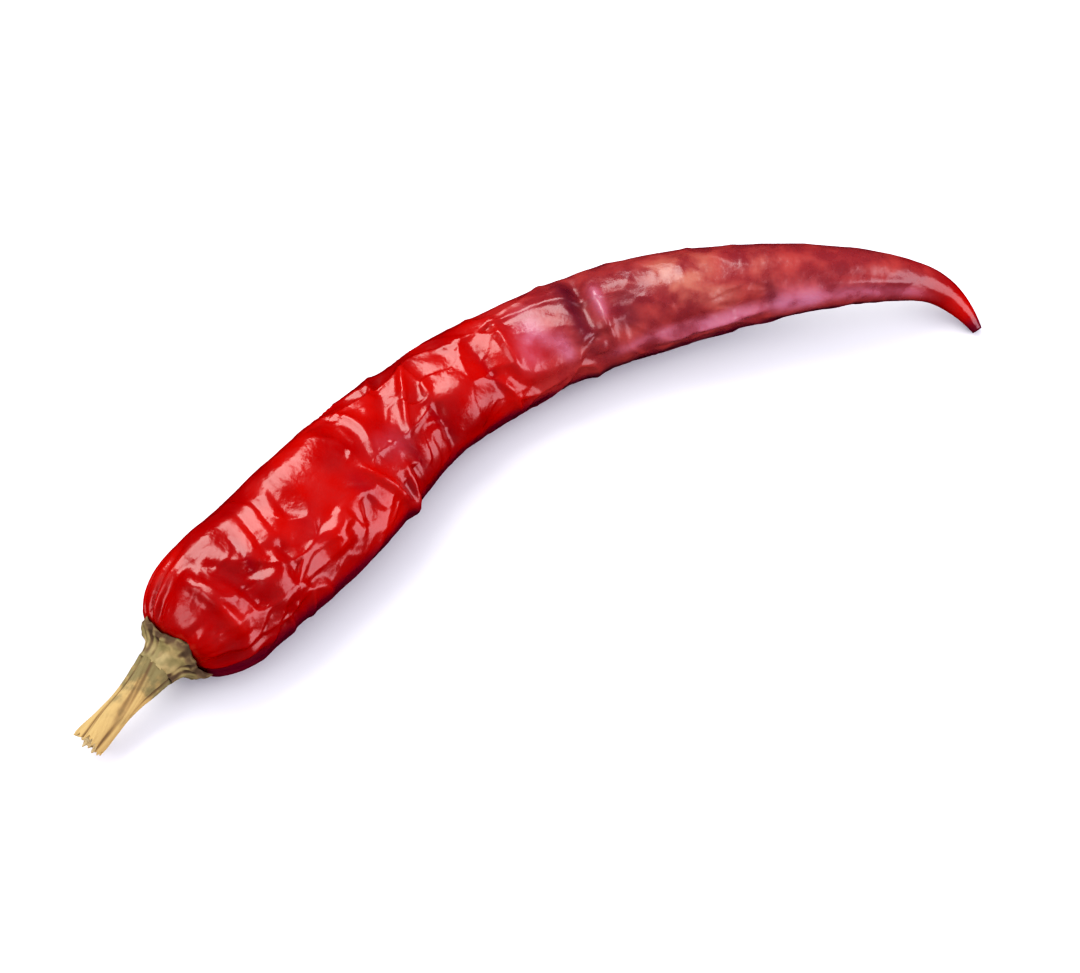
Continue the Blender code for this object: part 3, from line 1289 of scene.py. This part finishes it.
        # the very tip takes the same deep colour
        tip = smooth_step(0.975, 1.0, grid.shares)[:, None]
        shade = spread(painted_shade, grid) + 0.75 * below + 0.8 * tip
        return {"tail": tail, "tan": spread(tan, grid), "painted_sheen": spread(painted_sheen, grid), "painted_shade": shade}


@dataclass(frozen=True)
class Neck:
    """Where the stem leaves the pod: the neck's middle, and the ways across, up and out of the pod."""

    start: np.ndarray
    across: np.ndarray
    up: np.ndarray
    out: np.ndarray

    @classmethod
    def of(cls, body: PodBody) -> "Neck":
        """The neck of a pod.

        Args:
            body: the pod's smooth body.

        Returns:
            The neck, with its directions one long.
        """
        start, beyond = body.middle(np.array([0.0, 1 / FINE_STEPS]))
        out = unit(start - beyond)
        across = unit(np.cross(UPWARDS, out))
        return cls(start, across, np.cross(out, across), out)


@dataclass
class Calyx:
    """The shrivelled calyx: a crumpled, toothed saucer with a boss that holds the stalk.

    Its mesh runs from the axis out over the inside to the rim, and back over the outside to the boss's
    mouth. `flare` is how far out the outside lies, from the boss at 0 to the rim at 1, and `rise` how
    high, from the shoulder to the top of the boss. Past `closing` it closes to the share `mouth` of the
    boss. `deepest` is how far a crease may sink, and `clearance` the least height over the table.
    """

    body: PodBody = field(default_factory=PodBody)
    finish: DryCalyx = field(default_factory=DryCalyx)
    boss_height: float = 1.9 * MM
    boss_width: float = 2.9 * MM
    gap: float = 0.06 * MM
    wall: float = 0.40 * MM
    tooth: float = 0.42 * MM
    bay: float = 0.28 * MM
    curl: float = 0.22 * MM
    crumple: float = 0.08 * MM
    deepest: float = 0.25 * MM
    clearance: float = 0.05 * MM
    flare: Stations = ((0.0, 1.0), (0.30, 0.62), (0.5, 0.22), (0.7, 0.05), (0.88, 0.0), (1.0, 0.0))
    rise: Stations = ((0.0, 0.0), (0.3, 0.10), (0.45, 0.22), (0.6, 0.55), (0.85, 1.0), (1.0, 0.97))
    closing: float = 0.86
    mouth: float = 0.30
    columns: int = 240
    inner_rings: int = 24
    outer_rings: int = 90

    def rim(self, turn: np.ndarray) -> np.ndarray:
        """The rim's distance from the axis: five uneven teeth with shallow bays between them.

        Args:
            turn: the angles round the axis.

        Returns:
            A distance for each angle.
        """
        bent = turn + 0.22 * np.sin(turn + 0.6) + 0.10 * np.sin(3 * turn)
        teeth = 1 - np.abs(np.sin(2.5 * bent)) ** 0.8
        ragged = ripples(bent, (0.25, 9, 1.0), (0.18, 14, 2.2), (0.12, 23, 0.0))
        return self.body.calyx_width / 2 - self.bay + self.tooth * (1.5 * teeth + 0.5 * ragged)

    def shoulder(self, radius: np.ndarray) -> np.ndarray:
        """The height of the pod's shoulder above the neck's end face, at a distance from the axis.

        Args:
            radius: the distances from the axis.

        Returns:
            A height for each, 0 or less.
        """
        body = self.body
        wide = (2 * radius - body.neck_width) / (body.shoulder_width - body.neck_width)
        return -(1 - np.sqrt(1 - np.clip(wide, 0.0, 0.999) ** 2)) * body.shoulder_reach

    def outside(self, turn: np.ndarray, rim: np.ndarray) -> tuple[np.ndarray, np.ndarray]:
        """The smooth outside, from the rim to the boss's mouth.

        Args:
            turn: each column's angle.
            rim: the rim's distance from the axis there.

        Returns:
            The points' distances from the axis, and their heights along it.
        """
        step = np.linspace(0.0, 1.0, self.outer_rings)[:, None]
        boss = self.boss_width / 2 * (1.06 + 0.05 * np.cos(5 * turn + 0.5) + 0.03 * np.cos(11 * turn))
        past = np.clip(step - self.closing, 0, 1) / (1.005 - self.closing)
        closed = self.mouth + (1 - self.mouth) * np.sqrt(np.clip(1 - past**2, 0.0, 1.0))
        radius = boss + (rim - boss) * read_curve(self.flare, step)
        radius = radius * np.where(step > self.closing, closed, 1.0)
        rise = read_curve(self.rise, step)
        wall = self.wall * (0.55 + 0.45 * smooth_step(0.0, 0.15, step))
        base = self.shoulder(np.minimum(radius, rim)) * (1 - rise)
        return radius, base + self.gap + wall + (self.boss_height - self.gap - self.wall) * rise

    def build(self) -> bpy.types.Object:
        """Makes the calyx's mesh and dresses it.

        Returns:
            The object, in the scene.
        """
        turn = even_turns(self.columns)[None, :]
        rim = self.rim(turn)
        inner = rim * np.linspace(0.08, 1.0, self.inner_rings)[:, None]
        outer, outer_height = self.outside(turn, rim)
        radius = np.vstack([inner, outer])
        height = np.vstack([self.shoulder(inner) + self.gap, outer_height])
        points = self.place(radius, height, turn)
        seen = np.repeat([0.0, 1.0], [self.inner_rings, self.outer_rings])[:, None]
        creases = np.cos(16 * turn + 1.5 * np.sin(3 * turn)) * smooth_step(0.35, 1.0, radius / rim)
        dents = SpaceNoise(1.9 * MM, seed=51).at(points)
        pits = SpaceNoise(0.6 * MM, seed=52).at(points)
        lift = self.crumple * (0.6 * (dents + 0.25 * pits) + 0.9 * creases) * seen
        curled = smooth_step(0.8, 1.0, radius / rim) * (0.4 + 0.6 * np.sin(2 * turn + 0.8) ** 2)
        raised = height + np.maximum(lift, -self.deepest) + self.curl * curled
        points = self.place(radius + 0.4 * lift, raised, turn)
        points[..., 2] = np.maximum(points[..., 2], self.clearance)
        edge = smooth_step(0.82, 1.0, radius / rim) * np.ones_like(height)
        calyx = grid_mesh("calyx_skin", points, {"lift": lift / self.crumple, "edge": edge})
        fit(calyx, Piece.CALYX, self.finish.material())
        return calyx

    def place(self, radius: np.ndarray, height: np.ndarray, turn: np.ndarray) -> np.ndarray:
        """Points at distances from the stem's axis and heights along it, flattened as the pod is.

        Args:
            radius: each point's distance.
            height: its height.
            turn: each column's angle.

        Returns:
            An array of rings by columns by 3.
        """
        neck = Neck.of(self.body)
        flat = ring_points(neck.start, neck.across, neck.up, radius, turn, self.body.flatness)
        return flat + height[..., None] * neck.out


@dataclass
class Stalk:
    """The ribbed, fibrous stalk, which droops towards the table and was cut short.

    `waist` is its girth along its length as a share of the plain one. `cut_rings` close its end: each
    gives its size as a share of the edge's, how deep it lies in millimetres, and how much it keeps of
    the edge's raggedness.
    """

    body: PodBody = field(default_factory=PodBody)
    finish: DryStalk = field(default_factory=DryStalk)
    foot: float = 1.85 * MM
    length: float = 7.05 * MM
    top_width: float = 2.9 * MM
    width: float = 2.3 * MM
    end_lift: float = 0.6 * MM
    ribs: int = 7
    twist: float = 0.7
    waist: Stations = ((0.0, 1.03), (0.12, 0.97), (0.35, 0.93), (0.7, 0.97), (0.93, 1.03), (1.0, 1.05))
    sway: float = 0.05 * MM
    cut_rings: tuple[tuple[float, float, float], ...] = (
        (0.93, 0.02, 0.9),
        (0.85, 0.10, 0.5),
        (0.72, 0.20, 0.3),
        (0.50, 0.22, 0.1),
        (0.25, 0.16, 0.0),
    )
    rings: int = 160
    columns: int = 200

    def middle(self, run: np.ndarray) -> np.ndarray:
        """The middle line at shares of the length, which bends down to the cut end's height.

        Args:
            run: where along the stalk, from its foot at 0.

        Returns:
            A point for each share.
        """
        neck = Neck.of(self.body)
        start = neck.start + neck.out * self.foot
        droop = start[2] + neck.out[2] * self.length - (self.end_lift + self.width / 2)
        return start + neck.out * self.length * run - UPWARDS * droop * run**2

    def build(self) -> bpy.types.Object:
        """Makes the stalk's mesh and dresses it.

        Returns:
            The object, in the scene.
        """
        turn = even_turns(self.columns)[None, :]
        run = np.linspace(0.0, 1.0, self.rings)[:, None]
        line = self.middle(run)
        ahead = unit(np.gradient(line, axis=0))
        across = unit(np.cross(UPWARDS, ahead))
        up = np.cross(ahead, across)
        twisted = turn + self.twist * run + 0.25 * np.sin(2 * turn + 1.0)
        ribs = np.abs(np.cos(self.ribs / 2 * twisted)) ** 1.4
        fibres = 0.5 + 0.5 * np.sin(23 * twisted + 3 * np.sin(4 * twisted + 5 * run))
        fine = 0.5 + 0.5 * np.sin(41 * twisted + 4 * np.sin(3 * twisted + 9 * run))
        girth = ((0.0, self.top_width / 2), (0.5, self.width / 2), (1.0, self.width / 2))
        plain = read_curve(girth, run) * read_curve(self.waist, run)
        radius = plain * (0.84 + 0.13 * ribs + 0.035 * fibres + 0.02 * fine)
        radius = radius + self.sway * np.sin(9 * run + 2 * np.sin(twisted))
        ragged = ripples(turn, (0.16, 3, 1.0), (0.12, 8, 0.0), (0.14, 19, 2 * np.sin(turn)))
        skew = ragged * smooth_step(0.82, 1.0, run) * MM
        points = ring_points(line[:, None, :], across[:, None, :], up[:, None, :], radius, turn)
        points = points + skew[..., None] * ahead[:, None, :]
        cut = self.cut_face(points[-1], ahead[-1], turn)
        closing = np.ones(cut.shape[:2])
        # painted shade: deepest in the grooves between the ribs, with fine streaks along the fibres
        furrow_shade = 0.75 * (1 - ribs) + 0.25 * (1 - fibres)
        values = {
            "furrow_shade": np.vstack([furrow_shade, 0.2 * closing]),
            "along": np.vstack([run * np.ones_like(turn), closing]),
            "cut": np.vstack([np.zeros_like(radius), closing]),
        }
        stalk = grid_mesh("stalk_skin", np.vstack([points, cut]), values)
        fit(stalk, Piece.STALK, self.finish.material())
        return stalk

    def cut_face(self, edge: np.ndarray, ahead: np.ndarray, turn: np.ndarray) -> np.ndarray:
        """Rings that close the cut end: a thin rind round a torn, slightly hollow pith.

        Args:
            edge: the last ring of the stalk's side.
            ahead: the way the stalk points there.
            turn: each column's angle.

        Returns:
            Rings of points from the rind to the middle.
        """
        middle = edge.mean(axis=0)
        flat = edge - ((edge - middle) @ ahead)[:, None] * ahead
        rings = []
        for size, depth, keep in self.cut_rings:
            torn = ripples(turn[0], (0.05, 12, 20 * size), (0.04, 29, 9 * size))
            ring = middle + (flat - middle) * size + (edge - flat) * keep
            rings.append(ring + ((torn - depth) * MM)[:, None] * ahead)
        return np.array(rings)


# ----------------------------------------------------------------------
# The studio
# ----------------------------------------------------------------------


@dataclass(frozen=True)
class SoftBox:
    """A square area light that looks at the chilli, placed by angles in degrees from the front."""

    name: str
    azimuth: float
    elevation: float
    distance: float
    side: float
    power: float
    colour: tuple[float, float, float] = (1.0, 1.0, 1.0)


@dataclass
class Studio:
    """A pale floor, soft lights and the camera.

    `fill` is the share of the picture's width that the chilli takes up, and `contrast` sets the tones:
    each pair turns a brightness into another. The floor and the sky are left out of the gloss.
    """

    elevation: float = 57.0
    distance: float = 0.42
    fill: float = 0.84
    film: float = 36.0
    nearest: float = 0.01
    floor_reach: float = 3.0
    floor_colour: Colour = (0.56, 0.56, 0.57, 1.0)
    sky_colour: Colour = (0.89, 0.89, 1.0, 1.0)
    sky_strength: float = 2.0
    black_level: float = 0.008
    contrast: Stations = ((0.10, 0.05), (0.30, 0.25), (0.60, 0.60))
    boxes: tuple[SoftBox, ...] = (
        SoftBox("key_light", 217, 52, 0.35, 0.27, 1.30, (1.0, 0.97, 0.94)),
        SoftBox("side_light", 76, 22, 0.40, 0.36, 1.5, (1.0, 0.90, 0.95)),
        SoftBox("front_light", 296, 36, 0.38, 0.20, 0.40, (1.0, 0.94, 0.95)),
    )

    def towards(self, azimuth: float, elevation: float) -> Vector:
        """The way from the chilli to a place: azimuth 0 is in front of it, and 90 on its right."""
        a, e = math.radians(azimuth), math.radians(elevation)
        return Vector((math.sin(a) * math.cos(e), -math.cos(a) * math.cos(e), math.sin(e)))

    def middle(self) -> Vector:
        """The middle of the chilli's box."""
        low, high = (Vector(corner) for corner in CAD_BOX)
        return (low + high) / 2

    def aim(self, piece: bpy.types.Object, place: Vector, target: Vector) -> None:
        """Puts a light or a camera at a place, looking at the target."""
        piece.location = place
        piece.rotation_euler = (target - place).to_track_quat("-Z", "Y").to_euler()

    def add_floor(self) -> None:
        """A wide white floor."""
        mesh = bpy.data.meshes.new("floor")
        far = self.floor_reach
        corners = [(-far, -far, 0.0), (far, -far, 0.0), (far, far, 0.0), (-far, far, 0.0)]
        mesh.from_pydata(corners, [], [(0, 1, 2, 3)])
        floor = put("floor", mesh)
        shader = Shader("white_floor")
        shader.set(Base_Color=self.floor_colour, Roughness=0.9)
        mesh.materials.append(shader.material)
        floor.visible_glossy = False

    def add_lights(self) -> None:
        """The soft boxes and a pale sky."""
        target = self.middle()
        for box in self.boxes:
            lamp = bpy.data.lights.new(box.name, "AREA")
            lamp.size = box.side
            lamp.energy = box.power
            lamp.color = box.colour
            place = target + self.towards(box.azimuth, box.elevation) * box.distance
            self.aim(put(box.name, lamp), place, target)
        world = bpy.data.worlds.new("sky")
        world.use_nodes = True
        background = world.node_tree.nodes["Background"]
        background.inputs["Color"].default_value = self.sky_colour
        background.inputs["Strength"].default_value = self.sky_strength
        bpy.context.scene.world = world
        world.cycles_visibility.glossy = False

    def add_camera(self) -> None:
        """A long lens that looks down on the chilli."""
        low, high = (Vector(corner) for corner in CAD_BOX)
        lens = bpy.data.cameras.new("camera")
        lens.sensor_width = self.film
        lens.lens = self.film * self.distance * self.fill / (high.x - low.x)
        lens.clip_start = self.nearest
        camera = put("camera", lens)
        target = self.middle()
        self.aim(camera, target + self.towards(0.0, self.elevation) * self.distance, target)
        bpy.context.scene.camera = camera

    def build(self) -> None:
        """Sets up the floor, the lights, the camera and the picture's tones."""
        self.add_floor()
        self.add_lights()
        self.add_camera()
        view = bpy.context.scene.view_settings
        view.view_transform = "Standard"
        view.look = "None"
        view.exposure = 0.0
        view.use_curve_mapping = True
        view.curve_mapping.black_level = (self.black_level,) * 3
        every_colour = view.curve_mapping.curves[3]
        for before, after in self.contrast:
            every_colour.points.new(before, after)
        view.curve_mapping.update()


def main() -> None:
    """Builds the chilli and its studio."""
    logging.basicConfig(level=logging.INFO)
    for part in (Pod(), Calyx(), Stalk()):
        piece = part.build()
        LOG.info("%s: %d faces", piece.name, len(piece.data.polygons))
    Studio().build()


if __name__ == "__main__":
    main()
